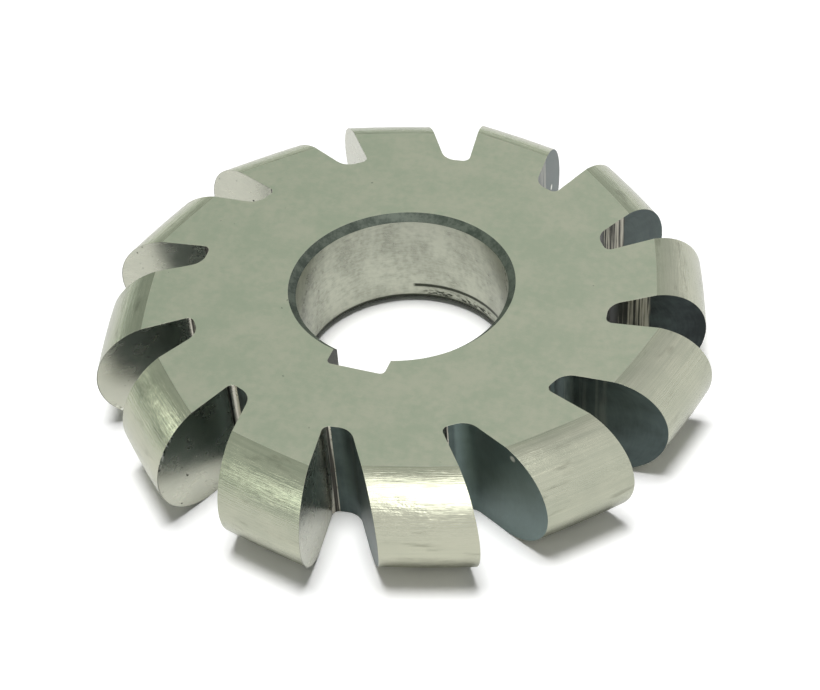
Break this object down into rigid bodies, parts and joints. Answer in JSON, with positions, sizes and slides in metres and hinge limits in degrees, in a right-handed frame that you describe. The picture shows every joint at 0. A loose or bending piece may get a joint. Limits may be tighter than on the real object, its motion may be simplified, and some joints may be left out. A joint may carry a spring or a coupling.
{
  "type": "convex milling cutter",
  "caption": "Disc milling cutter with relieved half-round teeth around its rim, ground flat sides, and a plain bore with a keyway for an arbor.",
  "frame": {"origin": "on the bore axis at the lower side face", "axes": "+Z along the bore axis, up through the other side face; -Y towards the keyway; the cutting faces look counterclockwise seen from above"},
  "size_m": [0.065, 0.065, 0.0119],
  "materials": {
    "tool_steel": "fine ground, bare"
  },
  "bodies": {
    "root": {"cutter": "tool_steel"}
  },
  "joints": []
}
